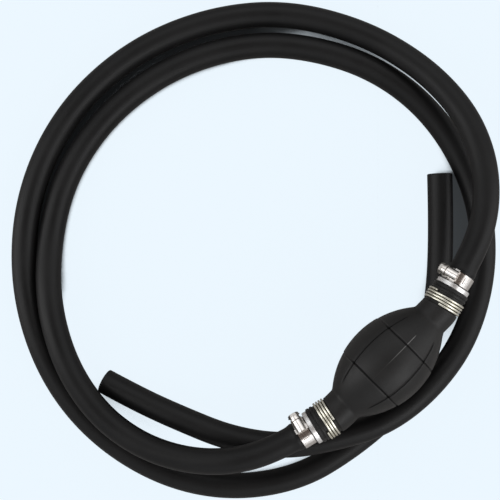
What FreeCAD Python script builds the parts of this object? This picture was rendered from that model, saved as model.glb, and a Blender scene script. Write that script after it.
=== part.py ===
"""Siphon bulb pump: a rubber squeeze bulb between two barbed check-valve fittings and two hoses.

The bulb's centre is the origin. X runs along the bulb from the inlet to the outlet, Y points
towards the inside of the coiled hoses and Z is up, away from the surface that the hoses lie on.
All lengths are in millimetres and all angles in degrees.
"""
import FreeCAD
import Part
import math
import operator
import os
import Sketcher

Vector = FreeCAD.Vector
Rotation = FreeCAD.Rotation
Placement = FreeCAD.Placement
X_AXIS = Vector(1, 0, 0)
Y_AXIS = Vector(0, 1, 0)
Z_AXIS = Vector(0, 0, 1)

# Driving sizes. "along" is measured outward on a fitting's axis from the bend in the bulb's neck.
SIZES = [
    # Rubber bulb
    ("bulb_diameter", 49.0),
    ("bulb_length", 71.0),
    ("bulb_wall", 4.5),
    ("neck_diameter", 23.0),
    ("ring_spacing", 29.0),
    ("panel_raise", 0.25),
    ("seam_width", 1.0),
    ("seam_depth", 0.5),
    ("seam_reach", 54.0),
    ("seam_angle", 39.0),
    ("roll_angle", 7.0),
    ("throat_diameter", 15.0),
    ("throat_spare", 0.6),
    ("bend_position", 43.5),
    ("bend_angle", 13.5),
    ("bend_radius", 16.0),
    ("lip_diameter", 22.6),
    ("lip_width", 2.0),
    ("lip_groove_width", 0.6),
    ("lip_groove_depth", 0.6),
    # Wire clamps on the necks
    ("wire_diameter", 1.35),
    ("wire_spacing", 1.8),
    ("wire_turns", 3.93),
    ("wire_squeeze", 0.75),
    ("wire_clearance", 0.05),
    ("wire_spare", 0.2),
    ("wire_along", 6.8),
    ("wire_inlet_angle", 118.0),
    ("wire_outlet_angle", 70.0),
    # Aluminium fittings
    ("collar_along", 15.4),
    ("collar_width", 3.1),
    ("collar_diameter", 21.0),
    ("collar_chamfer", 0.4),
    ("plug_length", 20.9),
    ("plug_diameter", 16.4),
    ("ridge_height", 0.4),
    ("ridge_width", 1.6),
    ("ridge_spacing", 3.6),
    ("tail_length", 12.6),
    ("tail_diameter", 10.4),
    ("barb_height", 0.7),
    ("barb_spacing", 3.9),
    ("bore_diameter", 6.6),
    ("chamber_diameter", 12.8),
    ("chamber_depth", 13.5),
    # Valves inside the plugs
    ("valve_travel", 2.5),
    ("stem_diameter", 2.4),
    ("stem_spare", 0.3),
    ("guide_clearance", 0.06),
    ("poppet_diameter", 10.8),
    ("poppet_thickness", 1.8),
    ("boss_diameter", 8.0),
    ("boss_height", 0.7),
    ("seal_diameter", 10.4),
    ("seal_thickness", 0.95),
    ("seat_clearance", 0.05),
    ("spider_thickness", 2.0),
    ("spider_rim", 1.0),
    ("spider_hub_diameter", 5.2),
    ("spoke_width", 1.6),
    ("spoke_thickness", 1.2),
    ("spring_wire", 0.6),
    ("inlet_spring_diameter", 7.2),
    ("outlet_spring_diameter", 8.8),
    ("spring_turns", 5.0),
    ("spring_clearance", 0.1),
    # Worm-drive clamps on the hose ends
    ("clamp_along", 22.7),
    ("clamp_tilt", 25.0),
    ("band_width", 7.2),
    ("band_thickness", 0.5),
    ("band_clearance", 0.05),
    ("band_end_angle", 62.0),
    ("band_start_angle", 22.0),
    ("slot_length", 4.0),
    ("slot_width", 1.0),
    ("slot_spacing", 1.9),
    ("slot_start_angle", 24.0),
    ("slot_count", 2.0),
    ("window_clearance", 0.2),
    ("housing_width", 6.4),
    ("housing_length", 7.2),
    ("housing_offset", 1.4),
    ("housing_wall", 0.55),
    ("lug_width", 3.0),
    ("lug_thickness", 0.45),
    ("screw_height", 11.6),
    ("thread_diameter", 5.0),
    ("thread_rib", 0.9),
    ("thread_spacing", 1.9),
    ("journal_diameter", 3.6),
    ("journal_clearance", 0.05),
    ("shoulder_diameter", 7.0),
    ("shoulder_thickness", 1.0),
    ("shoulder_gap", 0.55),
    ("screw_neck_diameter", 6.0),
    ("screw_neck_length", 1.6),
    ("head_across", 6.6),
    ("head_thickness", 1.6),
    ("head_bevel", 0.5),
    ("head_slot_width", 1.2),
    ("head_slot_depth", 1.0),
    # Hoses
    ("hose_diameter", 16.0),
    ("hose_bore", 10.0),
    ("hose_swell", 1.0),
    ("swell_length", 8.8),
    ("swell_taper", 4.0),
    ("run_spare", 0.675),
]

# The hoses' routes after their fittings: corners that the smooth line rounds off.
OUTLET_ROUTE = [
    (110.5, 24.0, -2.0), (131.5, 46.5, -7.5), (144.5, 76.0, -15.0), (147.0, 114.5, -25.0),
    (137.0, 157.0, -33.5), (112.0, 199.0, -36.0), (75.0, 229.0, -36.0), (30.0, 248.0, -36.0),
    (-18.5, 252.5, -36.0), (-63.0, 242.5, -36.0), (-102.5, 220.0, -36.0), (-136.0, 184.5, -36.0),
    (-157.5, 140.0, -36.0), (-163.0, 93.5, -36.0), (-152.5, 46.0, -36.0), (-128.5, 8.0, -36.0),
    (-92.0, -19.0, -36.0), (-52.5, -28.5, -36.0), (-16.5, -31.0, -36.0), (19.5, -21.5, -36.0),
    (51.5, -1.5, -36.0), (83.5, 27.5, -36.0), (109.5, 55.0, -36.0),
]
INLET_ROUTE = [
    (-111.5, 24.5, -2.5), (-132.0, 45.5, -9.5), (-146.0, 72.5, -16.5), (-150.5, 104.5, -21.0),
    (-142.5, 140.5, -22.5), (-122.5, 176.0, -27.5), (-93.5, 204.5, -36.0), (-60.5, 223.5, -36.0),
    (-21.5, 232.0, -36.0), (17.5, 229.5, -36.0), (53.5, 217.5, -36.0), (86.0, 196.5, -36.0),
    (110.0, 168.0, -36.0), (127.5, 133.5, -36.0), (134.0, 96.0, -36.0), (129.0, 58.0, -36.0),
    (112.5, 20.0, -36.0), (84.0, -10.5, -36.0), (46.5, -29.5, -28.0), (8.5, -34.0, -19.5),
    (-27.5, -29.5, -19.5), (-58.0, -13.0, -19.5), (-83.0, 5.0, -19.5), (-103.0, 31.5, -21.5),
    (-117.0, 62.5, -26.0), (-128.0, 89.0, -31.5), (-136.0, 113.0, -36.0),
]
# A corner's arc takes this share of the shorter run beside it.
ARC_SHARE = 0.45
RIDGES = 3
BARBS = 3
SPOKES = 3
# How far a spoke's or a lug's end reaches into the piece that it grows from.
ROOT = 0.4
# How far a cutting outline reaches past the piece that it cuts.
CUT_REACH = 1.0

doc = FreeCAD.newDocument("SiphonBulbPump")
sheet = doc.addObject("Spreadsheet::Sheet", "Sizes")
for row, (alias, value) in enumerate(SIZES, 1):
    sheet.set("A%d" % row, alias)
    sheet.set("B%d" % row, str(value))
    sheet.setAlias("B%d" % row, alias)
doc.recompute()

OPERATORS = {"+": operator.add, "-": operator.sub, "*": operator.mul, "/": operator.truediv}


class Size:
    """A length or an angle, with the formula that gives it from the sheet."""

    def __init__(self, value, formula):
        self.value = value
        self.formula = formula

    def __add__(self, other):
        return combined(self, "+", other)

    def __radd__(self, other):
        return combined(other, "+", self)

    def __sub__(self, other):
        return combined(self, "-", other)

    def __rsub__(self, other):
        return combined(other, "-", self)

    def __mul__(self, other):
        return combined(self, "*", other)

    def __rmul__(self, other):
        return combined(other, "*", self)

    def __truediv__(self, other):
        return combined(self, "/", other)

    def __neg__(self):
        return combined(0, "-", self)


def as_size(number):
    """A plain number as a size with no entry in the sheet."""
    if isinstance(number, Size):
        return number
    return Size(float(number), repr(float(number)))


def combined(first, sign, second):
    """The sum, difference, product or quotient of two sizes."""
    first = as_size(first)
    second = as_size(second)
    value = OPERATORS[sign](first.value, second.value)
    return Size(value, "(%s %s %s)" % (first.formula, sign, second.formula))


def root(square):
    """The square root of a size."""
    return Size(math.sqrt(square.value), "sqrt(%s)" % square.formula)


size = {alias: Size(float(sheet.get(alias)), "Sizes." + alias) for alias, _ in SIZES}


def turn(axis, angle):
    """A turn about one of the frame's axes."""
    return Placement(Vector(), Rotation(axis, as_size(angle).value))


def shift(x=0, y=0, z=0):
    """A move along the frame's axes."""
    return Placement(Vector(*(as_size(c).value for c in (x, y, z))), Rotation())


def new_body(name, placement=Placement()):
    """An empty solid body for one node."""
    body = doc.addObject("PartDesign::Body", name)
    body.Label = name
    body.Placement = placement
    return body


def new_sketch(body, plane, offset):
    """An empty sketch on one of the body's own planes."""
    sketch = body.newObject("Sketcher::SketchObject", body.Name + "_sketch")
    support = next(o for o in body.Origin.OriginFeatures if o.Role == plane)
    sketch.AttachmentSupport = [(support, "")]
    sketch.MapMode = "FlatFace"
    sketch.AttachmentOffset = offset
    return sketch


def bind(sketch, kind, *parts):
    """Adds a dimension to a sketch and ties it to the sheet."""
    target = as_size(parts[-1])
    index = sketch.addConstraint(Sketcher.Constraint(kind, *parts[:-1], target.value))
    sketch.setExpression("Constraints[%d]" % index, target.formula)


def round_edge(start, end, radius, hollow):
    """An arc from start to end that swells out of the outline, or into it if hollow."""
    chord = end - start
    rise = math.sqrt(radius * radius - chord.Length * chord.Length / 4)
    inward = Vector(-chord.y, chord.x, 0).normalize()
    centre = (start + end) * 0.5 + inward * (-rise if hollow else rise)
    first, last = (end, start) if hollow else (start, end)
    angles = [math.atan2(p.y - centre.y, p.x - centre.x) for p in (first, last)]
    if angles[1] < angles[0]:
        angles[1] += 2 * math.pi
    return Part.ArcOfCircle(Part.Circle(centre, Z_AXIS, radius), *angles)


def outline(body, corners, plane="XY_Plane", offset=Placement()):
    """A closed outline, drawn anticlockwise, with every corner tied to the sheet.

    A corner is (x, y), or (x, y, radius) where the edge that leaves it is an arc, or
    (x, y, radius, True) where that arc is hollow.
    """
    sketch = new_sketch(body, plane, offset)
    points = [Vector(as_size(c[0]).value, as_size(c[1]).value, 0) for c in corners]
    ends = []
    for i, corner in enumerate(corners):
        start, end = points[i], points[(i + 1) % len(points)]
        hollow = len(corner) == 4
        if len(corner) == 2:
            sketch.addGeometry(Part.LineSegment(start, end))
        else:
            sketch.addGeometry(round_edge(start, end, corner[2].value, hollow))
            bind(sketch, "Radius", i, corner[2])
        ends.append((2, 1) if hollow else (1, 2))
    for i, corner in enumerate(corners):
        following = (i + 1) % len(corners)
        pair = (i, ends[i][1], following, ends[following][0])
        sketch.addConstraint(Sketcher.Constraint("Coincident", *pair))
        bind(sketch, "DistanceX", -1, 1, i, ends[i][0], corner[0])
        bind(sketch, "DistanceY", -1, 1, i, ends[i][0], corner[1])
    return sketch


def circle(body, radius, centre=(0, 0), plane="XY_Plane", offset=Placement()):
    """A circle tied to the sheet."""
    sketch = new_sketch(body, plane, offset)
    middle = Vector(as_size(centre[0]).value, as_size(centre[1]).value, 0)
    sketch.addGeometry(Part.Circle(middle, Z_AXIS, radius.value))
    bind(sketch, "Radius", 0, radius)
    bind(sketch, "DistanceX", -1, 1, 0, 3, centre[0])
    bind(sketch, "DistanceY", -1, 1, 0, 3, centre[1])
    return sketch


def revolve(body, kind, corners, offset=Placement(), angle=360):
    """Turns an outline about the X axis of its sketch, evenly to both sides of its plane."""
    sketch = outline(body, corners, offset=offset)
    feature = body.newObject("PartDesign::" + kind, body.Name + "_" + kind.lower())
    feature.Profile = sketch
    feature.ReferenceAxis = (sketch, ["H_Axis"])
    feature.Midplane = as_size(angle).value < 360
    feature.setExpression("Angle", as_size(angle).formula)
    return feature


def extrude(body, kind, sketch, length, both_ways=False, backwards=False):
    """A pad or a pocket of a sketch."""
    feature = body.newObject("PartDesign::" + kind, body.Name + "_" + kind.lower())
    feature.Profile = sketch
    feature.Midplane = both_ways
    feature.Reversed = backwards
    feature.setExpression("Length", as_size(length).formula)
    return feature


def box(x_start, x_end, y_start, y_end):
    """The corners of a rectangle."""
    return [(x_start, y_start), (x_end, y_start), (x_end, y_end), (x_start, y_end)]


def plain_shape(name, shape, placement=Placement()):
    """A node whose solid is given whole."""
    node = doc.addObject("Part::Feature", name)
    node.Label = name
    node.Shape = shape
    node.Placement = placement
    return node


def arc_between(start, corner, end):
    """The arc that leaves start towards corner and reaches end along the line from corner."""
    chord = end - start
    half_turn = (corner - start).getAngle(end - corner) / 2
    rise = chord.Length / 2 * math.tan(half_turn / 2)
    middle = (start + end) * 0.5
    return Part.Arc(start, middle + (corner - middle).normalize() * rise, end).toShape()


def swept(path, radius):
    """A solid of circular section along a path of lines and arcs."""
    start = path[0].valueAt(path[0].FirstParameter)
    direction = path[0].tangentAt(path[0].FirstParameter)
    ring = Part.Wire(Part.Circle(start, direction, radius).toShape())
    return Part.Wire(path).makePipeShell([ring], True, False)


def helix_path(radius, spacing, turns, start_angle):
    """A right-handed helix about the X axis, centred on the origin, as pairs of arcs."""
    steps = math.ceil(turns * 4)
    step = turns * 2 * math.pi / steps
    rise = spacing / (2 * math.pi)
    edges = []

    def place(index):
        angle = math.radians(start_angle) + index * step
        along = rise * step * (index - steps / 2)
        point = Vector(along, radius * math.cos(angle), radius * math.sin(angle))
        heading = Vector(rise, -radius * math.sin(angle), radius * math.cos(angle)).normalize()
        return point, heading

    for index in range(steps):
        start, leave = place(index)
        end, arrive = place(index + 1)
        span = end - start
        spread = span.dot(leave + arrive)
        closing = 2 * (1 - leave.dot(arrive))
        reach = (math.sqrt(spread * spread + closing * span.dot(span)) - spread) / closing
        first = start + leave * reach
        second = end - arrive * reach
        joint = (first + second) * 0.5
        edges.append(arc_between(start, first, joint))
        edges.append(arc_between(joint, second, end))
    return edges


def least_gap(edges, diameter, apart):
    """The least gap of a tube to itself, between points at least `apart` along its line."""
    points = []
    for edge in edges:
        points += edge.discretize(6)[:-1]
    reach = [0.0]
    for before, after in zip(points, points[1:]):
        reach.append(reach[-1] + before.distanceToPoint(after))
    gap = float("inf")
    for i, point in enumerate(points):
        for j in range(i + 1, len(points)):
            if reach[j] - reach[i] > apart:
                gap = min(gap, point.distanceToPoint(points[j]))
    return gap - diameter


def wound(name, radius, wire, spacing, turns, start_angle=0.0):
    """One unbroken helical tube."""
    edges = helix_path(radius, spacing, turns, start_angle)
    gap = least_gap(edges, wire, 3 * radius)
    print("%s: least gap between turns %.2f" % (name, gap))
    return swept(edges, wire / 2)


# The frame of each side: the inlet is the outlet turned half round the Y axis, so along its
# fitting's axis X points outward on both sides and Y stays towards the coil's middle.
SIDES = {"inlet": turn(Y_AXIS, 180), "outlet": Placement()}
bend = shift(size["bend_position"]).multiply(turn(Z_AXIS, size["bend_angle"]))
fitting_frame = {side: frame.multiply(bend) for side, frame in SIDES.items()}
# A clamp's frame keeps Z up on both sides, so its X points from the inlet to the outlet.
clamp_turn = {"inlet": turn(Z_AXIS, -size["bend_angle"]), "outlet": turn(Z_AXIS, size["bend_angle"])}


def clamp_frame(side, along):
    """The frame of a clamp centred on a fitting's axis."""
    centre = fitting_frame[side].multVec(Vector(along.value, 0, 0))
    return Placement(centre, clamp_turn[side].Rotation)


# Shared stations along a fitting's axis.
collar_start = size["collar_along"]
collar_end = collar_start + size["collar_width"]
plug_end = collar_start - size["plug_length"]
tail_end = collar_end + size["tail_length"]
chamber_end = plug_end + size["chamber_depth"]
plug_radius = size["plug_diameter"] / 2
tail_radius = size["tail_diameter"] / 2
bore_radius = size["bore_diameter"] / 2
chamber_radius = size["chamber_diameter"] / 2


def plug_steps():
    """The ridges on a plug that its neck is moulded round, from its inner end outward."""
    steps = [(plug_end, plug_radius)]
    first = collar_start - size["ridge_spacing"] * (RIDGES + 0.5)
    for index in range(RIDGES):
        start = first + size["ridge_spacing"] * index
        end = start + size["ridge_width"]
        steps.append((start, plug_radius))
        steps.append((end, plug_radius + size["ridge_height"]))
        steps.append((end, plug_radius))
    steps.append((collar_start, plug_radius))
    return steps


def barb_steps():
    """The saw-tooth barbs that grip the hose, from the collar outward."""
    steps = []
    first = tail_end - size["barb_spacing"] * BARBS
    for index in range(BARBS):
        start = first + size["barb_spacing"] * index
        steps.append((start, tail_radius))
        steps.append((start, tail_radius + size["barb_height"]))
    steps.append((tail_end, tail_radius))
    return steps


# Rubber bulb: a swelling body and two necks that bend towards the coil's middle.
bulb_radius = size["bulb_diameter"] / 2
neck_radius = size["neck_diameter"] / 2
half_length = size["bulb_length"] / 2
swell = bulb_radius - neck_radius
arch_radius = (half_length * half_length + swell * swell) / (swell * 2)
arch_drop = arch_radius - bulb_radius


def arch(radius, x):
    """The height of the bulb's lengthwise arch, struck with a radius, at x."""
    return root(radius * radius - x * x) - arch_drop


bulb = new_body("bulb")
revolve(bulb, "Revolution", [
    (-half_length, 0), (half_length, 0), (half_length, neck_radius, arch_radius),
    (-half_length, neck_radius),
])
panel_end = size["ring_spacing"] / 2
panel_arch = arch_radius + size["panel_raise"]
revolve(bulb, "Revolution", [
    (-panel_end, 0), (panel_end, 0), (panel_end, arch(panel_arch, panel_end), panel_arch),
    (-panel_end, arch(panel_arch, panel_end)),
])

# The neck runs on from inside the bulb, round the bend and out to its lip.
half_bend = math.radians(size["bend_angle"].value / 2)
bend_reach = size["bend_radius"] * math.tan(half_bend)
neck_start = panel_end
wire_mean = neck_radius - size["wire_squeeze"] + size["wire_diameter"] / 2
wire_length = size["wire_spacing"] * size["wire_turns"] + size["wire_diameter"]
wire_half = wire_length / 2 + size["wire_spare"]
squeeze_start = size["wire_along"] - wire_half
squeeze_end = size["wire_along"] + wire_half
squeeze_radius = neck_radius - size["wire_squeeze"] - size["wire_clearance"]
lip_radius = size["lip_diameter"] / 2
lip_start = collar_start - size["lip_width"]
lip_groove = lip_start - size["lip_groove_width"]
lip_floor = lip_radius - size["lip_groove_depth"]
for side, frame in SIDES.items():
    ring_offset = shift(z=neck_start if side == "outlet" else -neck_start)
    ring = circle(bulb, neck_radius, plane="YZ_Plane", offset=ring_offset)
    spine = new_sketch(bulb, "XY_Plane", frame)
    straight_end = Vector(size["bend_position"].value - bend_reach.value, 0, 0)
    turned_start = bend.multVec(Vector(bend_reach.value, 0, 0))
    bend_centre = straight_end + Vector(0, size["bend_radius"].value, 0)
    spine.addGeometry(Part.LineSegment(Vector(neck_start.value, 0, 0), straight_end))
    bend_circle = Part.Circle(bend_centre, Z_AXIS, size["bend_radius"].value)
    spine.addGeometry(Part.ArcOfCircle(bend_circle, -math.pi / 2, -math.pi / 2 + 2 * half_bend))
    spine.addConstraint(Sketcher.Constraint("Tangent", 0, 2, 1, 1))
    bind(spine, "DistanceX", -1, 1, 0, 1, neck_start)
    bind(spine, "DistanceY", -1, 1, 0, 1, 0)
    bind(spine, "DistanceX", -1, 1, 0, 2, size["bend_position"] - bend_reach)
    bind(spine, "DistanceY", -1, 1, 0, 2, 0)
    bind(spine, "Radius", 1, size["bend_radius"])
    bind(spine, "DistanceY", -1, 1, 1, 2, turned_start.y)
    neck = bulb.newObject("PartDesign::AdditivePipe", "neck_bend")
    neck.Profile = ring
    neck.Spine = (spine, ["Edge1", "Edge2"])
    revolve(bulb, "Revolution", [
        (bend_reach, 0), (collar_start, 0), (collar_start, lip_radius), (lip_start, lip_radius),
        (lip_start, lip_floor), (lip_groove, lip_floor), (lip_groove, lip_radius),
        (squeeze_end, lip_radius), (squeeze_end, squeeze_radius),
        (squeeze_start, squeeze_radius), (squeeze_start, neck_radius), (bend_reach, neck_radius),
    ], offset=fitting_frame[side])

# The hollow inside, with a straight throat to each plug and the plug's own seat.
inner_arch = arch_radius - size["bulb_wall"]
throat_radius = size["throat_diameter"] / 2
cavity_reach = inner_arch * inner_arch - (arch_drop + throat_radius) * (arch_drop + throat_radius)
cavity_end = root(cavity_reach)
revolve(bulb, "Groove", [
    (-cavity_end, 0), (cavity_end, 0), (cavity_end, throat_radius, inner_arch),
    (-cavity_end, throat_radius),
])
plug_lean = plug_radius * math.sin(2 * half_bend)
throat_start = cavity_end - CUT_REACH
throat_end = size["bend_position"] + plug_end + plug_lean + size["throat_spare"]
for side, frame in SIDES.items():
    revolve(bulb, "Groove", box(throat_start, throat_end, 0, throat_radius), offset=frame)
    seat = [(plug_end, 0), (collar_start, 0)] + plug_steps()[::-1]
    revolve(bulb, "Groove", seat, offset=fitting_frame[side])

# Moulded seams: two rings and four lengthwise lines.
seam_width = size["seam_width"]
seam_floor = arch_radius - size["seam_depth"]
seam_top = bulb_radius + CUT_REACH
for sign in (-1, 1):
    middle = panel_end * sign
    floor = arch(seam_floor, panel_end)
    revolve(bulb, "Groove", box(middle - seam_width / 2, middle + seam_width / 2, floor, seam_top))
seam_end = size["seam_reach"] / 2
seam_spread = seam_width / bulb_radius * math.degrees(1)
for around in (size["seam_angle"], -size["seam_angle"]):
    for opposite in (0, 180):
        lean = turn(X_AXIS, 90 + size["roll_angle"] * -1 + around + opposite)
        revolve(bulb, "Groove", [
            (-seam_end, arch(seam_floor, seam_end), seam_floor, True),
            (seam_end, arch(seam_floor, seam_end)), (seam_end, seam_top), (-seam_end, seam_top),
        ], offset=lean, angle=seam_spread)

# Aluminium fittings: a plug in the neck, a collar against the lip and a barbed tail.
chamfer = size["collar_chamfer"]
collar_radius = size["collar_diameter"] / 2
for side in SIDES:
    fitting = new_body(side + "_fitting", fitting_frame[side])
    revolve(fitting, "Revolution", [
        (plug_end, chamber_radius), (chamber_end, chamber_radius), (chamber_end, bore_radius),
        (tail_end, bore_radius),
    ] + barb_steps()[::-1] + [
        (collar_end, tail_radius), (collar_end, collar_radius - chamfer),
        (collar_end - chamfer, collar_radius), (collar_start + chamfer, collar_radius),
        (collar_start, collar_radius - chamfer),
    ] + plug_steps()[::-1])

# Valve parts. Both valves open towards the outlet: the inlet's poppet lifts into the bulb off the
# chamber's floor, and the outlet's lifts away from the bulb off a seat pressed into the plug.
stem_radius = size["stem_diameter"] / 2
guide_radius = stem_radius + size["guide_clearance"]
hub_radius = size["spider_hub_diameter"] / 2
window_radius = chamber_radius - size["spider_rim"]
seal_radius = size["seal_diameter"] / 2
boss_radius = size["boss_diameter"] / 2
spider_end = plug_end + size["spider_thickness"]
stem_end = plug_end - size["valve_travel"] - size["stem_spare"]


def spider(name, side, start, end, spoke_start, spoke_end, opening):
    """A rim and a stem guide joined by spokes, pressed into a plug's mouth."""
    body = new_body(name, fitting_frame[side])
    revolve(body, "Revolution", box(spoke_start, spoke_end, guide_radius, hub_radius))
    for index in range(SPOKES):
        spoke = outline(
            body,
            box(spoke_start, spoke_end, hub_radius - ROOT, opening + ROOT),
            offset=turn(X_AXIS, 360 * index / SPOKES),
        )
        extrude(body, "Pad", spoke, size["spoke_width"], both_ways=True)
    revolve(body, "Revolution", box(start, end, opening, chamber_radius))
    return body


def poppet(name, side, seal_face, direction):
    """A poppet whose boss faces along `direction`, with a stem through its spider."""
    face = seal_face - size["seal_thickness"] * direction
    back = face - size["poppet_thickness"] * direction
    boss = face + size["boss_height"] * direction
    body = new_body(name, fitting_frame[side])
    low, high = (back, face) if direction > 0 else (face, back)
    revolve(body, "Revolution", box(low, high, 0, size["poppet_diameter"] / 2))
    low_boss, high_boss = (face, boss) if direction > 0 else (boss, face)
    revolve(body, "Revolution", box(low_boss, high_boss, 0, boss_radius))
    revolve(body, "Revolution", box(stem_end, low, 0, stem_radius))
    return face, back


def seal(name, side, start):
    """A flat rubber ring."""
    body = new_body(name, fitting_frame[side])
    revolve(body, "Revolution", box(start, start + size["seal_thickness"], boss_radius, seal_radius))


def spring(name, side, start, end, diameter):
    """A compression spring round the stem, at its length with the valve closed."""
    wire = size["spring_wire"].value
    clearance = size["spring_clearance"].value
    length = end.value - start.value - 2 * clearance - wire
    turns = size["spring_turns"].value
    coil = wound(name, diameter.value / 2, wire, length / turns, turns)
    centre = shift((start + end) / 2)
    plain_shape(name, coil, fitting_frame[side].multiply(centre))


spider("inlet_valve_retainer", "inlet", plug_end, spider_end, plug_end, spider_end, window_radius)
inlet_face = chamber_end - size["seat_clearance"]
face, back = poppet("inlet_valve_poppet", "inlet", inlet_face, 1)
seal("inlet_valve_seal", "inlet", face)
spring("inlet_valve_spring", "inlet", spider_end, back, size["inlet_spring_diameter"])

seat_opening = boss_radius
spoke_end = plug_end + size["spoke_thickness"]
spider("outlet_valve_seat", "outlet", plug_end, spider_end, plug_end, spoke_end, seat_opening)
outlet_face = spider_end + size["seat_clearance"]
face, back = poppet("outlet_valve_poppet", "outlet", outlet_face, -1)
seal("outlet_valve_seal", "outlet", outlet_face)
spring("outlet_valve_spring", "outlet", back, chamber_end, size["outlet_spring_diameter"])

# Wire clamps: one round wire wound about each neck.
for side in SIDES:
    name = side + "_wire_clamp"
    wire = wound(
        name, wire_mean.value, size["wire_diameter"].value, size["wire_spacing"].value,
        size["wire_turns"].value, size["wire_%s_angle" % side].value,
    )
    plain_shape(name, wire, clamp_frame(side, size["wire_along"]))

# Worm-drive clamps. In a clamp's frame X is the hose's axis and the screw lies along Y on top,
# and the frame is rolled about the hose so that the screw's head leans down towards the coil.
swollen_radius = (size["hose_diameter"] + size["hose_swell"]) / 2
band_inner = swollen_radius + size["band_clearance"]
band_outer = band_inner + size["band_thickness"]
lap_inner = band_outer + size["band_clearance"]
lap_outer = lap_inner + size["band_thickness"]
half_band = size["band_width"] / 2
lap_spread = size["band_start_angle"] + size["band_end_angle"]
lap_middle = (size["band_start_angle"] - size["band_end_angle"]) / 2
JOGGLE_SPREAD = 8
screw_height = size["screw_height"]
thread_radius = size["thread_diameter"] / 2
thread_foot = screw_height - thread_radius
journal_radius = size["journal_diameter"] / 2
dome_radius = size["housing_width"] / 2
dome_inner = dome_radius - size["housing_wall"]
housing_start = size["housing_offset"] - size["housing_length"] / 2
housing_end = size["housing_offset"] + size["housing_length"] / 2
inside_start = housing_start + size["housing_wall"]
inside_end = housing_end - size["housing_wall"]
slot_step = size["slot_spacing"] / lap_outer * math.degrees(1)


def clamp_band(side, frame):
    """The band: a full turn round the hose, and its slotted end lapped over the outside."""
    body = new_body(side + "_clamp_band", frame)
    revolve(body, "Revolution", box(-half_band, half_band, band_inner, band_outer))
    joggle_angle = 90 - size["band_start_angle"] + JOGGLE_SPREAD / 2
    joggle = box(-half_band, half_band, band_outer - size["band_thickness"] / 2, lap_outer)
    revolve(body, "Revolution", joggle, turn(X_AXIS, joggle_angle), as_size(JOGGLE_SPREAD))
    lap = box(-half_band, half_band, lap_inner, lap_outer)
    revolve(body, "Revolution", lap, turn(X_AXIS, 90 - lap_middle), lap_spread)
    between = shift(z=lap_inner - size["band_clearance"] / 2)
    half_slot = size["slot_length"] / 2
    half_width = size["slot_width"] / 2
    for index in range(round(size["slot_count"].value)):
        lean = turn(X_AXIS, size["slot_start_angle"] + slot_step * index)
        corners = box(-half_slot, half_slot, -half_width, half_width)
        slot = outline(body, corners, offset=lean.multiply(between))
        extrude(body, "Pocket", slot, size["band_thickness"] * 2, backwards=True)
    half_window = thread_radius + size["window_clearance"]
    bite = root(lap_outer * lap_outer - thread_foot * thread_foot)
    bite_end = bite + size["window_clearance"]
    corners = box(-half_window, half_window, inside_start, bite_end)
    window = outline(body, corners, offset=between)
    extrude(body, "Pocket", window, size["band_thickness"] * 2, backwards=True)


def clamp_housing(side, frame):
    """The pressed saddle over the screw, with lugs folded down past the band's edges."""
    body = new_body(side + "_clamp_housing", frame)
    across = shift(z=-housing_end)
    length = size["housing_length"]
    # The walls start deep inside the band, and the band's own ring is cut out of them below.
    base = band_inner / 2
    walls = box(-dome_radius, dome_radius, base, screw_height)
    extrude(body, "Pad", outline(body, walls, "XZ_Plane", across), length)
    top = circle(body, dome_radius, (0, screw_height), "XZ_Plane", across)
    extrude(body, "Pad", top, length)
    reach = half_band + size["band_clearance"]
    lug_outer = reach + size["lug_thickness"]
    lug_top = lap_outer + size["lug_thickness"] * 2
    lug_foot = band_inner + size["band_thickness"] / 2
    lug_middle = size["lug_width"] / 2
    for sign in (-1, 1):
        edges = [(dome_radius - ROOT) * sign, lug_outer * sign]
        edges.sort(key=lambda edge: edge.value)
        lug = box(edges[0], edges[1], lug_foot, lug_top)
        sketch = outline(body, lug, "XZ_Plane", shift(z=-lug_middle))
        extrude(body, "Pad", sketch, size["lug_width"])
    revolve(body, "Groove", box(-reach, reach, 0, lap_outer + size["band_clearance"]))
    room = inside_end - inside_start
    within = shift(z=-inside_end)
    hollow = outline(body, box(-dome_inner, dome_inner, base, screw_height), "XZ_Plane", within)
    extrude(body, "Pocket", hollow, room, backwards=True)
    vault = circle(body, dome_inner, (0, screw_height), "XZ_Plane", within)
    extrude(body, "Pocket", vault, room, backwards=True)
    bearing_radius = journal_radius + size["journal_clearance"]
    bearing = circle(body, bearing_radius, (0, screw_height), "XZ_Plane", across)
    extrude(body, "Pocket", bearing, length, backwards=True)


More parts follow.
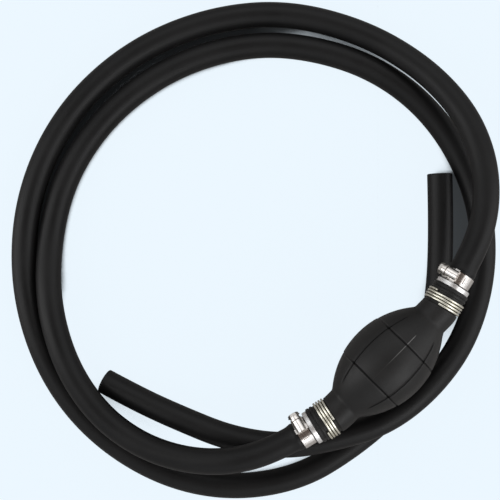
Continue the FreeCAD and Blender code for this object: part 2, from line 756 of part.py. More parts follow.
def clamp_screw(side, frame):
    """The worm screw: threaded in the housing, with a shoulder, a neck and a slotted hex head."""
    name = side + "_clamp_screw"
    core = new_body(name + "_core")
    shoulder_start = housing_end + size["shoulder_gap"]
    shoulder_end = shoulder_start + size["shoulder_thickness"]
    head_start = shoulder_end + size["screw_neck_length"]
    head_end = head_start + size["head_thickness"]
    head_middle = (head_start + head_end) / 2
    shoulder_radius = size["shoulder_diameter"] / 2
    screw_neck_radius = size["screw_neck_diameter"] / 2
    revolve(core, "Revolution", [
        (housing_start, 0), (head_middle, 0), (head_middle, screw_neck_radius),
        (shoulder_end, screw_neck_radius), (shoulder_end, shoulder_radius),
        (shoulder_start, shoulder_radius), (shoulder_start, journal_radius),
        (housing_start, journal_radius),
    ])
    corner_radius = size["head_across"] / math.sqrt(3)
    corners = []
    for index in range(6):
        angle = math.radians(60 * index)
        corners.append((corner_radius * math.cos(angle), corner_radius * math.sin(angle)))
    hexagon = outline(core, corners, "YZ_Plane", shift(z=head_start))
    extrude(core, "Pad", hexagon, size["head_thickness"])
    crown = corner_radius + CUT_REACH
    bevel_start = head_end - size["head_bevel"]
    revolve(core, "Groove", [
        (head_end, corner_radius - size["head_bevel"]), (head_end, crown), (bevel_start, crown),
        (bevel_start, corner_radius),
    ])
    half_slot = size["head_slot_width"] / 2
    slot = outline(core, box(-crown, crown, -half_slot, half_slot), "YZ_Plane", shift(z=head_end))
    extrude(core, "Pocket", slot, size["head_slot_depth"])
    rib = size["thread_rib"].value
    thread_length = (inside_end - inside_start).value - rib * 2
    turns = thread_length / size["thread_spacing"].value
    radius = thread_radius.value - rib / 2
    thread = doc.addObject("Part::Feature", name + "_thread")
    thread.Shape = wound(name, radius, rib, size["thread_spacing"].value, turns)
    thread.Placement = shift(size["housing_offset"])
    screw = doc.addObject("Part::Fuse", name)
    screw.Base = core
    screw.Tool = thread
    screw.Label = name
    screw.Placement = frame.multiply(shift(z=screw_height)).multiply(turn(Z_AXIS, 90))


for side in SIDES:
    roll = turn(X_AXIS, -size["clamp_tilt"])
    frame = clamp_frame(side, size["clamp_along"]).multiply(roll)
    clamp_band(side, frame)
    clamp_housing(side, frame)
    clamp_screw(side, frame)


# Hoses: free lengths with open ends, swollen over the barbs where the clamps hold them. Each
# hose's first corner is far enough out for its arc to start beyond the swollen part.
swell_run = size["swell_length"] + size["swell_taper"]
swell_end = collar_end + swell_run
first_corner = collar_end.value + (swell_run + size["run_spare"]).value / (1 - ARC_SHARE)


def route_path(points):
    """Straight runs joined by tangent arcs, with the radius of each arc."""
    edges = []
    radii = []
    last = points[0]
    for before, corner, after in zip(points, points[1:], points[2:]):
        arrive = corner - before
        leave = after - corner
        half_turn = arrive.getAngle(leave) / 2
        reach = ARC_SHARE * min(arrive.Length, leave.Length)
        start = corner - arrive.normalize() * reach
        end = corner + leave.normalize() * reach
        edges.append(Part.LineSegment(last, start).toShape())
        edges.append(arc_between(start, corner, end))
        radii.append(reach / math.tan(half_turn))
        last = end
    edges.append(Part.LineSegment(last, points[-1]).toShape())
    return edges, radii


def turned_shape(corners, frame):
    """A solid turned about a fitting's axis from an outline."""
    points = [Vector(as_size(a).value, as_size(r).value, 0) for a, r in corners]
    solid = Part.Face(Part.makePolygon(points + points[:1])).revolve(Vector(), X_AXIS, 360)
    solid.Placement = frame
    return solid


def hose(side, route):
    """One hose from its fitting's collar to its open end."""
    name = side + "_hose"
    frame = fitting_frame[side]
    outer = size["hose_diameter"].value / 2
    inner = size["hose_bore"].value / 2
    points = [frame.multVec(Vector(along, 0, 0)) for along in (collar_end.value, first_corner)]
    points += [Vector(*point) for point in route]
    edges, radii = route_path(points)
    length = sum(edge.Length for edge in edges)
    print("%s: length %.0f, radii %s" % (name, length, ", ".join("%.0f" % r for r in radii)))
    free_start = frame.multVec(Vector(swell_end.value, 0, 0))
    edges[0] = Part.LineSegment(free_start, edges[0].Vertexes[-1].Point).toShape()
    tube = swept(edges, outer).cut(swept(edges, inner))
    section = math.pi * (outer * outer - inner * inner)
    expected = section * sum(edge.Length for edge in edges)
    print("%s: volume against section times length %.4f" % (name, tube.Volume / expected))
    sleeve = turned_shape([
        (collar_end, swollen_radius), (collar_end, tail_radius),
    ] + barb_steps() + [
        (tail_end, inner), (swell_end, inner), (swell_end, outer),
        (collar_end + size["swell_length"], swollen_radius),
    ], frame)
    plain_shape(name, tube.fuse(sleeve))


hose("outlet", OUTLET_ROUTE)
hose("inlet", INLET_ROUTE)
doc.recompute()

HELPERS = ("_core", "_thread")
os.makedirs("parts", exist_ok=True)
for item in doc.Objects:
    if "Invalid" in item.State or "Error" in item.State:
        raise RuntimeError("%s did not rebuild" % item.Label)
    is_node = item.TypeId in ("PartDesign::Body", "Part::Feature", "Part::Fuse")
    if not is_node or item.Label.endswith(HELPERS):
        continue
    shape = item.Shape
    if shape.isNull() or not shape.isValid() or len(shape.Solids) != 1:
        raise RuntimeError("%s is not one sound solid" % item.Label)
    shape.exportStep("parts/%s.step" % item.Label)
    print("%s: volume %.1f" % (item.Label, shape.Volume))
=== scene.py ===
"""Siphon bulb pump: the rubber pieces, materials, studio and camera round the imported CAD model.
Lengths in the tables are millimetres, as in the CAD; everything handed to Blender is in metres.
"""
import math

import bpy
from mathutils import Matrix, Vector


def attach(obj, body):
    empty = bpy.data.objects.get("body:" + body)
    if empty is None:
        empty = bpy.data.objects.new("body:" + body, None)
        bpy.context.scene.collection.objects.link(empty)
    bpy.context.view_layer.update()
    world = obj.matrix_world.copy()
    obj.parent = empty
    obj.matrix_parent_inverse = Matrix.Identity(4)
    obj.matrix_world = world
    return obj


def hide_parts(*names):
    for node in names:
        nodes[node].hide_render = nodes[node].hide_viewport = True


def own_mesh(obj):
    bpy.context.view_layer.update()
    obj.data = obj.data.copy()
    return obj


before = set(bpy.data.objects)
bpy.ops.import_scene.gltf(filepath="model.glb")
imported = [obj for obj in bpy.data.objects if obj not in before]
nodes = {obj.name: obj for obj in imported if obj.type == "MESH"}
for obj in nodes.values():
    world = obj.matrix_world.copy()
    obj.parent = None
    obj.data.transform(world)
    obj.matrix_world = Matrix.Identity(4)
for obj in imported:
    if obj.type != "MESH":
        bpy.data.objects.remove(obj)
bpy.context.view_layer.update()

MM = 0.001
Y_AXIS = Vector((0, 1, 0))
Z_AXIS = Vector((0, 0, 1))

# The bulb's axis bends once on each side, and the fitting follows it straight on, as in the
# CAD. The neck's lip ends at the fitting's collar, measured from the bend.
BEND_POSITION = 43.5
BEND_ANGLE = math.radians(13.5)
BEND_RADIUS = 16.0
COLLAR_START = 15.4

# The hoses' control points, repeated from the CAD; the first two stand on the fitting's axis.
HOSE_STARTS = {
    "outlet": [(61.489, 4.319, 0.0), (85.312, 10.038, 0.0)],
    "inlet": [(-61.489, 4.319, 0.0), (-85.312, 10.038, 0.0)],
}
HOSE_ROUTES = {
    "outlet": [
        (110.5, 24.0, -2.0), (131.5, 46.5, -7.5), (144.5, 76.0, -15.0), (147.0, 114.5, -25.0),
        (137.0, 157.0, -33.5), (112.0, 199.0, -36.0), (75.0, 229.0, -36.0), (30.0, 248.0, -36.0),
        (-18.5, 252.5, -36.0), (-63.0, 242.5, -36.0), (-102.5, 220.0, -36.0),
        (-136.0, 184.5, -36.0), (-157.5, 140.0, -36.0), (-163.0, 93.5, -36.0),
        (-152.5, 46.0, -36.0), (-128.5, 8.0, -36.0), (-92.0, -19.0, -36.0),
        (-52.5, -28.5, -36.0), (-16.5, -31.0, -36.0), (19.5, -21.5, -36.0), (51.5, -1.5, -36.0),
        (83.5, 27.5, -36.0), (109.5, 55.0, -36.0),
    ],
    "inlet": [
        (-111.5, 24.5, -2.5), (-132.0, 45.5, -9.5), (-146.0, 72.5, -16.5),
        (-150.5, 104.5, -21.0), (-142.5, 140.5, -22.5), (-122.5, 176.0, -27.5),
        (-93.5, 204.5, -36.0), (-60.5, 223.5, -36.0), (-21.5, 232.0, -36.0),
        (17.5, 229.5, -36.0), (53.5, 217.5, -36.0), (86.0, 196.5, -36.0), (110.0, 168.0, -36.0),
        (127.5, 133.5, -36.0), (134.0, 96.0, -36.0), (129.0, 58.0, -36.0), (112.5, 20.0, -36.0),
        (84.0, -10.5, -36.0), (46.5, -29.5, -28.0), (8.5, -34.0, -19.5), (-27.5, -29.5, -19.5),
        (-58.0, -13.0, -19.5), (-83.0, 5.0, -19.5), (-103.0, 31.5, -21.5), (-117.0, 62.5, -26.0),
        (-128.0, 89.0, -31.5), (-136.0, 113.0, -36.0),
    ],
}
HOSE_DIAMETER = 16.0
HOSE_BORE = 10.0

FLOOR_HEIGHT = -44.0
BACKGROUND = (0.838, 0.930, 1.0)


# ---------------------------------------------------------------- materials

class Nodes:
    """A node tree in the making: short calls that add and join nodes."""

    def __init__(self, tree):
        self.tree = tree

    def add(self, kind, settings=None, **inputs):
        """A node, with its inputs set or joined by name (spaces written as underscores)."""
        node = self.tree.nodes.new(kind)
        for key, value in (settings or {}).items():
            setattr(node, key, value)
        for key, value in inputs.items():
            self.feed(node, key.replace("_", " "), value)
        return node

    def feed(self, node, key, value):
        """Sets one input of a node, or joins it to another node's output."""
        if isinstance(value, bpy.types.NodeSocket):
            self.tree.links.new(value, node.inputs[key])
        else:
            node.inputs[key].default_value = value

    def for_camera(self, seen, unseen):
        """One shader where the camera looks straight at it, another for all other rays."""
        chosen = self.add("ShaderNodeMixShader")
        self.feed(chosen, 0, self.add("ShaderNodeLightPath").outputs["Is Camera Ray"])
        self.feed(chosen, 1, unseen.outputs[0])
        self.feed(chosen, 2, seen.outputs[0])
        return chosen.outputs[0]


class Look(Nodes):
    """A material in the making, with its Principled shader at hand."""

    def __init__(self, name):
        self.material = bpy.data.materials.new(name)
        self.material.use_nodes = True
        super().__init__(self.material.node_tree)
        self.shader = self.tree.nodes["Principled BSDF"]

    def math(self, operation, first, second=0.0):
        node = self.add("ShaderNodeMath", {"operation": operation})
        self.feed(node, 0, first)
        self.feed(node, 1, second)
        return node.outputs[0]

    def ramp(self, value, low, high, low_out=0.0, high_out=1.0):
        """A clamped straight ramp: low turns into low_out, and high into high_out."""
        node = self.add("ShaderNodeMapRange")
        for key, number in (("Value", value), ("From Min", low), ("From Max", high),
                            ("To Min", low_out), ("To Max", high_out)):
            self.feed(node, key, number)
        return node.outputs["Result"]

    def mix(self, factor, first, second):
        """A blend of two colours."""
        node = self.add("ShaderNodeMix", {"data_type": "RGBA"})
        self.feed(node, 0, factor)
        self.feed(node, 6, first)
        self.feed(node, 7, second)
        return node.outputs[2]

    def noise(self, vector, scale, detail=3.0, roughness=0.55):
        node = self.add(
            "ShaderNodeTexNoise", Vector=vector, Scale=scale, Detail=detail, Roughness=roughness
        )
        return node.outputs["Fac"]

    def coordinates(self, stretch=(1, 1, 1), turn=0.0):
        """Object coordinates in metres, turned about Z and stretched."""
        source = self.add("ShaderNodeTexCoord").outputs["Object"]
        if stretch == (1, 1, 1) and not turn:
            return source
        mapping = self.add("ShaderNodeMapping", {"vector_type": "TEXTURE"}, Vector=source)
        mapping.inputs["Rotation"].default_value = (0, 0, turn)
        mapping.inputs["Scale"].default_value = stretch
        return mapping.outputs[0]

    def bump(self, height, distance, strength=1.0, below=None):
        node = self.add("ShaderNodeBump", Height=height, Distance=distance, Strength=strength)
        if below is not None:
            self.feed(node, "Normal", below)
        return node.outputs[0]

    def finish(self, **inputs):
        """Feeds the Principled shader and gives the finished material."""
        for key, value in inputs.items():
            self.feed(self.shader, key.replace("_", " "), value)
        return self.material


def grey(value):
    return (value, value, value, 1.0)


def hose_rubber():
    """Extruded black rubber: faint lines along the hose, a soft bloom and fine grain."""
    look = Look("hose_rubber")
    map_node = look.add("ShaderNodeSeparateXYZ", Vector=look.add("ShaderNodeUVMap").outputs[0])
    around, along = map_node.outputs[0], map_node.outputs[1]
    angle = look.math("MULTIPLY", around, 2 * math.pi)
    circle = look.add(
        "ShaderNodeCombineXYZ",
        X=look.math("COSINE", angle), Y=look.math("SINE", angle),
        Z=look.math("MULTIPLY", along, 3.0),
    ).outputs[0]
    lines = look.noise(circle, 14.0, detail=2.0)
    place = look.coordinates()
    bloom = look.noise(place, 28.0, detail=4.0, roughness=0.6)
    grain = look.noise(place, 2600.0, detail=2.0)
    specks = look.ramp(look.noise(place, 900.0, detail=1.0), 0.70, 0.78)
    colour = look.mix(
        look.ramp(bloom, 0.35, 0.7), (0.0048, 0.0047, 0.0048, 1), (0.0078, 0.0076, 0.0077, 1)
    )
    colour = look.mix(look.math("MULTIPLY", specks, 0.2), colour, grey(0.03))
    rough = look.math("ADD", look.ramp(bloom, 0.3, 0.7, 0.43, 0.50),
                      look.ramp(lines, 0.3, 0.7, -0.04, 0.04))
    normal = look.bump(lines, distance=0.00003, strength=0.6)
    normal = look.bump(grain, distance=0.00002, strength=0.5, below=normal)
    return look.finish(
        Base_Color=colour, Roughness=rough, Normal=normal, Specular_IOR_Level=0.20
    )


def bulb_rubber():
    """Moulded matt black rubber: fine grain, a dusty bloom, and painted light at the seams from a
    mesh attribute: above zero it paints a pale highlight on the groove rims and the parting line,
    below zero painted shade in the grooves.
    """
    look = Look("bulb_rubber")
    place = look.coordinates()
    bloom = look.noise(place, 45.0, detail=5.0, roughness=0.6)
    grain = look.noise(place, 1700.0, detail=3.0, roughness=0.65)
    pits = look.noise(place, 420.0, detail=2.0)
    worn = look.add("ShaderNodeAttribute", {"attribute_name": "worn"}).outputs["Fac"]
    colour = look.mix(
        look.ramp(bloom, 0.3, 0.72), (0.0075, 0.0072, 0.0070, 1), (0.0120, 0.0115, 0.0112, 1)
    )
    colour = look.mix(look.ramp(grain, 0.45, 0.8, 0.0, 0.25), colour, (0.026, 0.024, 0.023, 1))
    # Painted highlight: pale rubber on the seams' rims and along the parting line.
    colour = look.mix(look.ramp(worn, 0.0, 1.0), colour, (0.42, 0.41, 0.40, 1))
    # Painted shade: the grooves are darkened in the colour.
    depth = look.ramp(worn, 0.0, -1.0)
    colour = look.mix(depth, colour, grey(0.0015))
    rough = look.math("ADD", look.ramp(bloom, 0.3, 0.7, 0.44, 0.52),
                      look.ramp(pits, 0.3, 0.7, -0.03, 0.03))
    normal = look.bump(pits, distance=0.00006, strength=0.4)
    normal = look.bump(grain, distance=0.00005, strength=0.7, below=normal)
    return look.finish(
        Base_Color=colour, Roughness=rough, Normal=normal,
        Specular_IOR_Level=look.ramp(depth, 0.0, 1.0, 0.25, 0.03),
    )


def metal(name, pale, dark, rough_range, brushed=(1, 1, 1), turn=0.0, lines=0.00002):
    """Bare metal: patches of two tones, brushed or turned lines, and small scratches.

    The lines run along the axes that brushed stretches, turned about Z, and are raised by
    the height that lines gives in metres.
    """
    look = Look(name)
    place = look.coordinates()
    patches = look.noise(place, 160.0, detail=4.0, roughness=0.6)
    brush = look.noise(look.coordinates(brushed, turn), 2200.0, detail=3.0)
    scratched = look.noise(look.coordinates((1, 14, 1), turn + 0.6), 900.0, detail=2.0)
    scratch = look.ramp(scratched, 0.66, 0.74)
    colour = look.mix(look.ramp(patches, 0.35, 0.68), (*pale, 1), (*dark, 1))
    colour = look.mix(look.math("MULTIPLY", scratch, 0.3), colour, grey(0.35))
    rough = look.math("ADD", look.ramp(patches, 0.3, 0.7, *rough_range),
                      look.ramp(brush, 0.3, 0.7, -0.05, 0.05))
    normal = look.bump(brush, distance=lines, strength=0.6)
    normal = look.bump(scratch, distance=0.00003, strength=0.3, below=normal)
    return look.finish(Base_Color=colour, Roughness=rough, Normal=normal, Metallic=1.0)


def valve_plastic():
    """Moulded white acetal with a waxy sheen."""
    look = Look("valve_plastic")
    place = look.coordinates()
    flow = look.noise(place, 220.0, detail=3.0)
    grain = look.noise(place, 3000.0, detail=2.0)
    colour = look.mix(look.ramp(flow, 0.3, 0.7), (0.80, 0.79, 0.74, 1), (0.72, 0.70, 0.64, 1))
    return look.finish(
        Base_Color=colour, Roughness=look.ramp(flow, 0.3, 0.7, 0.36, 0.46),
        Normal=look.bump(grain, distance=0.00002, strength=0.5), Subsurface_Weight=0.08,
        Subsurface_Radius=(0.002, 0.002, 0.0015),
    )


def seal_rubber():
    """Nitrile rubber of the seals: black, fine and slightly shiny."""
    look = Look("seal_rubber")
    place = look.coordinates()
    bloom = look.noise(place, 300.0, detail=3.0)
    grain = look.noise(place, 4000.0, detail=2.0)
    colour = look.mix(look.ramp(bloom, 0.3, 0.7), grey(0.012), grey(0.022))
    return look.finish(
        Base_Color=colour, Roughness=look.ramp(bloom, 0.3, 0.7, 0.38, 0.5),
        Normal=look.bump(grain, distance=0.00002, strength=0.5),
    )


# How far each side's fitting leans from the X axis: the lines in its metal follow it.
LEAN = {"inlet": -BEND_ANGLE, "outlet": BEND_ANGLE}
LOOKS = {
    "hose_rubber": hose_rubber(),
    "bulb_rubber": bulb_rubber(),
    "seal_rubber": seal_rubber(),
    "valve_plastic": valve_plastic(),
    "clamp_wire": metal(
        "clamp_wire", (0.90, 0.88, 0.78), (0.70, 0.67, 0.56), rough_range=(0.24, 0.34),
    ),
    "spring_steel": metal(
        "spring_steel", (0.66, 0.65, 0.63), (0.48, 0.47, 0.45), rough_range=(0.22, 0.32),
    ),
}
for side, lean in LEAN.items():
    LOOKS[side + "_aluminium"] = metal(
        side + "_aluminium", (0.93, 0.92, 0.91), (0.82, 0.81, 0.80), rough_range=(0.34, 0.44),
        brushed=(1, 12, 12), turn=lean, lines=0.00003,
    )
    LOOKS[side + "_band_steel"] = metal(
        side + "_band_steel", (0.80, 0.77, 0.74), (0.64, 0.60, 0.57), rough_range=(0.16, 0.26),
        brushed=(1, 10, 10), turn=lean,
    )
    LOOKS[side + "_screw_steel"] = metal(
        side + "_screw_steel", (0.72, 0.69, 0.65), (0.52, 0.49, 0.46), rough_range=(0.20, 0.32),
        brushed=(8, 1, 8), turn=lean,
    )
# The looks of the CAD's own pieces, by the end of the node's name.
NODE_LOOKS = {
    "_fitting": "{side}_aluminium",
    "_valve_poppet": "valve_plastic",
    "_valve_retainer": "{side}_aluminium",
    "_valve_seat": "{side}_aluminium",
    "_wire_clamp": "clamp_wire",
    "_clamp_band": "{side}_band_steel",
    "_clamp_housing": "{side}_band_steel",
    "_clamp_screw": "{side}_screw_steel",
}


def dress(piece, look):
    """Gives every slot of a piece one material."""
    if not piece.data.materials:
        piece.data.materials.append(None)
    for slot in piece.material_slots:
        slot.material = LOOKS[look]


for name, node in nodes.items():
    for ending, look in NODE_LOOKS.items():
        if name.endswith(ending):
            dress(node, look.format(side=name.split("_")[0]))


# ---------------------------------------------------------------- mesh helpers

def ring_mesh(name, rings, lengthwise):
    """A closed loop of rings of points, each joined to the next and the last to the first.

    Its UV map runs from 0 to 1 round each ring, and lengthwise by one given value per ring.
    """
    count = len(rings[0])
    vertices = [point for ring in rings for point in ring]
    faces = []
    for i in range(len(rings)):
        here, there = i * count, (i + 1) % len(rings) * count
        for j in range(count):
            k = (j + 1) % count
            faces.append((here + j, here + k, there + k, there + j))
    mesh = bpy.data.meshes.new(name)
    mesh.from_pydata(vertices, [], faces)
    mesh.shade_smooth()
    layer = mesh.uv_layers.new(name="UVMap")
    coordinates = []
    for i in range(len(rings)):
        low, high = lengthwise[i], lengthwise[(i + 1) % len(rings)]
        for j in range(count):
            coordinates += [j / count, low, (j + 1) / count, low,
                            (j + 1) / count, high, j / count, high]
    layer.data.foreach_set("uv", coordinates)
    mesh.validate()
    piece = bpy.data.objects.new(name, mesh)
    bpy.context.scene.collection.objects.link(piece)
    return piece


def even_angles(count):
    return [2 * math.pi * j / count for j in range(count)]


def circle_points(centre, across, up, radius, angles):
    return [centre + (across * math.cos(a) + up * math.sin(a)) * radius for a in angles]


def bell(distance, width, height):
    """The height of a smooth bump at a distance from its middle."""
    return height * math.exp(-(distance / width) ** 2)


def limited(value, low=0.0, high=1.0):
    return min(max(value, low), high)


# ---------------------------------------------------------------- hoses

HOSE_SIDES = 56
# The rings' places along the hose in millimetres near the fitting, and their step from there
# to the last two before the free end, in metres.
NEAR_RINGS = [0.0, 0.15, 0.35, 0.6, 0.9, 1.3, 1.8] + [2.5 + 0.75 * i for i in range(24)]
RING_STEP = 2.5 * MM
END_SPARE = 2 * MM
LAST_STEP_END = 1.2 * MM
LAST_RING = 0.6 * MM
# The free end's rounded edges: how far before the end, and how far in from the skin or out
# from the bore, in millimetres.
END_SKIN = ((0.35, 0.03), (0.16, 0.12), (0.05, 0.26), (0.0, 0.45))
END_BORE = ((0.0, 1.3), (0.02, 0.5), (0.0, 0.28), (0.08, 0.12), (0.3, 0.02))
# The bore's rings in metres, and the wider bore round the fitting's barbs: place and radius.
BORE_START = 1.5 * MM
BORE_STEP = 5 * MM
BORE_SPARE = 30 * MM
GRIP = ((14, HOSE_BORE / 2), (12.5, 5.9), (0.3, 5.9), (0.0, 6.1), (0.0, 8.3))
# How the skin stands out over the barbs, in millimetres: evenly up to a place, then tapering
# off, and with two bulges of a given place, width and height.
SWELL = 0.5
SWELL_END = 9.6
SWELL_TAPER = 5.0
SWELL_BULGES = ((9.7, 0.9, 0.28), (0.2, 0.45, 0.25))
PATH_STEP = 3 * MM


def spline_line(name, corners):
    """The points of the smooth NURBS line that a hose follows."""
    data = bpy.data.curves.new(name + "_line", "CURVE")
    data.dimensions = "3D"
    data.resolution_u = 16
    spline = data.splines.new("NURBS")
    spline.points.add(len(corners) - 1)
    for point, corner in zip(spline.points, corners):
        point.co = (*(c * MM for c in corner), 1)
    spline.order_u = 3
    spline.use_endpoint_u = True
    line = bpy.data.objects.new(name + "_line", data)
    mesh = bpy.data.meshes.new_from_object(line)
    points = [vertex.co.copy() for vertex in mesh.vertices]
    bpy.data.objects.remove(line)
    bpy.data.curves.remove(data)
    bpy.data.meshes.remove(mesh)
    return points


def along_line(points, stations):
    """Points and directions of a line at the given distances along it."""
    reach = [0.0]
    for before, after in zip(points, points[1:]):
        reach.append(reach[-1] + (after - before).length)
    found = []
    i = 0
    for station in stations:
        while i < len(reach) - 2 and reach[i + 1] < station:
            i += 1
        share = (station - reach[i]) / (reach[i + 1] - reach[i])
        before = (points[i + 1] - points[max(i - 1, 0)]).normalized()
        after = (points[min(i + 2, len(points) - 1)] - points[i]).normalized()
        place = points[i].lerp(points[i + 1], share)
        found.append((place, before.lerp(after, share).normalized()))
    return found


def line_length(points):
    return sum((b - a).length for a, b in zip(points, points[1:]))


def swell(distance):
    """How far the hose's skin stands out near its fitting, in millimetres."""
    bulge = sum(bell(distance - place, width, height) for place, width, height in SWELL_BULGES)
    if distance < SWELL_END:
        return SWELL + bulge
    share = min((distance - SWELL_END) / SWELL_TAPER, 1)
    return SWELL * (0.5 + 0.5 * math.cos(math.pi * share)) + bulge


def hose_rows(total):
    """Each ring's distance along the line in metres and its radius in millimetres.

    The rings go out along the skin, round the free end and back inside.
    """
    outer, inner = HOSE_DIAMETER / 2, HOSE_BORE / 2
    stations = [near * MM for near in NEAR_RINGS]
    start = stations[-1]
    count = round((total - start - END_SPARE) / RING_STEP)
    step = (total - LAST_STEP_END - start) / count
    stations += [start + step * (i + 1) for i in range(count)]
    stations.append(total - LAST_RING)
    rows = [(station, outer + swell(station / MM)) for station in stations]
    rows += [(total - before * MM, outer - off) for before, off in END_SKIN]
    rows += [(total - before * MM, inner + off) for before, off in END_BORE]
    count = int((total - BORE_SPARE) / BORE_STEP)
    rows += [(total - BORE_START - BORE_STEP * i, inner) for i in range(count)]
    rows += [(place * MM, radius) for place, radius in GRIP]
    return rows


def carried_frames(points, stations):
    """The centre and cross directions at each station, without twist, the first one down."""
    frames = {}
    across = -Z_AXIS
    for station, (place, heading) in zip(stations, along_line(points, stations)):
        across = (across - heading * across.dot(heading)).normalized()
        frames[station] = (place, across, heading.cross(across))
    return frames


def hose(side):
    """A hose as a thick tube with open, square-cut ends."""
    name = side + "_hose_rubber"
    points = spline_line(name, HOSE_STARTS[side] + HOSE_ROUTES[side])
    total = line_length(points)
    rows = hose_rows(total)
    frames = carried_frames(points, sorted({station for station, _ in rows}))
    angles = even_angles(HOSE_SIDES)
    rings = [circle_points(*frames[s], r * MM, angles) for s, r in rows]
    piece = ring_mesh(name, rings, [s for s, _ in rows])
    dress(piece, "hose_rubber")
    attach(piece, "pump")
    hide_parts(side + "_hose")
    path_stations = [PATH_STEP * i for i in range(int(total / PATH_STEP) + 1)]
    path = [place for place, _ in along_line(points, path_stations)]
    path.append(points[-1])


for side in ("inlet", "outlet"):
    hose(side)


# ---------------------------------------------------------------- bulb

# The bulb's skin: an arch between the necks, a stretch squeezed by each wire clamp and a
# groove before each lip (start and end from the bend, radius), and the lip's rounded edge
# (how far from its end, how far in).
HALF_LENGTH = 35.5
BULB_RADIUS = 24.5
NECK_RADIUS = 11.5
LIP_RADIUS = 11.3
SQUEEZE = (2.415, 11.185, 10.7)
LIP_GROOVE = (12.8, 13.4, 10.7)
LIP_EDGE = ((0.0, 0.55), (0.06, 0.28), (0.2, 0.1))
ARCH_RISE = BULB_RADIUS - NECK_RADIUS
ARCH_RADIUS = (HALF_LENGTH ** 2 + ARCH_RISE ** 2) / (2 * ARCH_RISE)
ARCH_DROP = ARCH_RADIUS - BULB_RADIUS
BEND_START = BEND_POSITION - BEND_RADIUS * math.tan(BEND_ANGLE / 2)
BEND_END = BEND_START + BEND_RADIUS * BEND_ANGLE
ALONG_ZERO = BEND_END - BEND_RADIUS * math.tan(BEND_ANGLE / 2)
LIP_END = ALONG_ZERO + COLLAR_START

# How far the corners of the outline are softened, most where the bulb meets its necks.
CORNER_SPREAD = 0.17
SHOULDER_SPREAD = 0.75
SHOULDER = (33, 38)

# The moulded seams: two rings, four lines along the bulb and two parting lines, which lie
# at these angles round its axis, in degrees.
RING_SEAM = 14.5
PANEL_RAISE = 0.25
RING_SPAN = 4
SEAM_REACH = 27.0
SEAM_FADE = 3.0
PARTING_ANGLE = 83.0
SEAM_ANGLE = 39.0
PARTING_ANGLES = (PARTING_ANGLE, PARTING_ANGLE + 180)
SEAM_ANGLES = (
    PARTING_ANGLE + SEAM_ANGLE, PARTING_ANGLE - SEAM_ANGLE,
    PARTING_ANGLE + SEAM_ANGLE + 180, PARTING_ANGLE + 180 - SEAM_ANGLE,
)
SEAM_WIDTH = 0.42
RING_DEPTH = 0.5
SEAM_DEPTH = 0.42
RING_FAINTEST = 0.35
# The painted shade in a groove (width, strength), the painted highlight on the rims at a distance
# from its middle, and the parting line's ridge and its pale stripe, a painted highlight (width,
# strength). The line grows clearer from its start towards the outlet, up to its end, and is faint
# for a way before its start.
SHADE = (0.5, 0.8)
RIM_WIDTH = 0.25
RING_RIM, RING_RIM_OFFSET = 0.06, 0.9
SEAM_RIM, SEAM_RIM_OFFSET = 0.03, 0.85
PARTING_RIDGE = (0.2, 0.08)
PARTING_PALE = (0.17, 0.38)
PARTING_START = -4
PARTING_GROWTH = 20
PARTING_FAINT_START = -14
PARTING_FAINT = 0.04
PARTING_END = 22.8
PARTING_CUT = 1.2

# Inside: the plug's seat, the throat beside it and the hollow under a wall.
SEAT_RADIUS = 8.65
SEAT_MOUTH = 8.7
SEAT_DEPTH = 5.5
THROAT_RADIUS = 7.5
WALL = 4.5
HOLLOW_STEPS = 24


def bulb_frame(station):
    """The centre and cross directions of the bulb's bent axis at a distance from its middle."""
    sign = -1 if station < 0 else 1
    reach = abs(station)
    angle = min(max(reach - BEND_START, 0) / BEND_RADIUS, BEND_ANGLE)
    x = min(reach, BEND_START) + BEND_RADIUS * math.sin(angle)
    y = BEND_RADIUS * (1 - math.cos(angle))
    beyond = max(reach - BEND_END, 0)
    x += beyond * math.cos(angle)
    y += beyond * math.sin(angle)
    lean = angle * sign
    centre = Vector((x * sign, y, 0)) * MM
    return centre, Vector((-math.sin(lean), math.cos(lean), 0)), Z_AXIS


def raw_radius(reach):
    """The bulb's outline before its corners are softened."""
    if reach < HALF_LENGTH:
        raised = PANEL_RAISE if reach < RING_SEAM else 0.0
        return math.sqrt((ARCH_RADIUS + raised) ** 2 - reach ** 2) - ARCH_DROP
    along = reach - ALONG_ZERO
    if SQUEEZE[0] < along < SQUEEZE[1]:
        return SQUEEZE[2]
    if LIP_GROOVE[0] < along < LIP_GROOVE[1]:
        return LIP_GROOVE[2]
    return NECK_RADIUS if along < SQUEEZE[0] else LIP_RADIUS


def soft_radius(reach):
    """The outline with every corner rounded, more so where the neck meets the bulb."""
    spread = SHOULDER_SPREAD if SHOULDER[0] < reach < SHOULDER[1] else CORNER_SPREAD
    total, weights = 0.0, 0.0
    for i in range(-4, 5):
        weight = math.exp(-(i / 2) ** 2 / 2)
        sample = min(abs(reach + spread * i / 2), LIP_END)
        total += raw_radius(sample) * weight
        weights += weight
    return total / weights


def turned_gap(angle, middle):
    """The difference of two angles in degrees, between -180 and 180."""
    return (angle - middle + 180) % 360 - 180


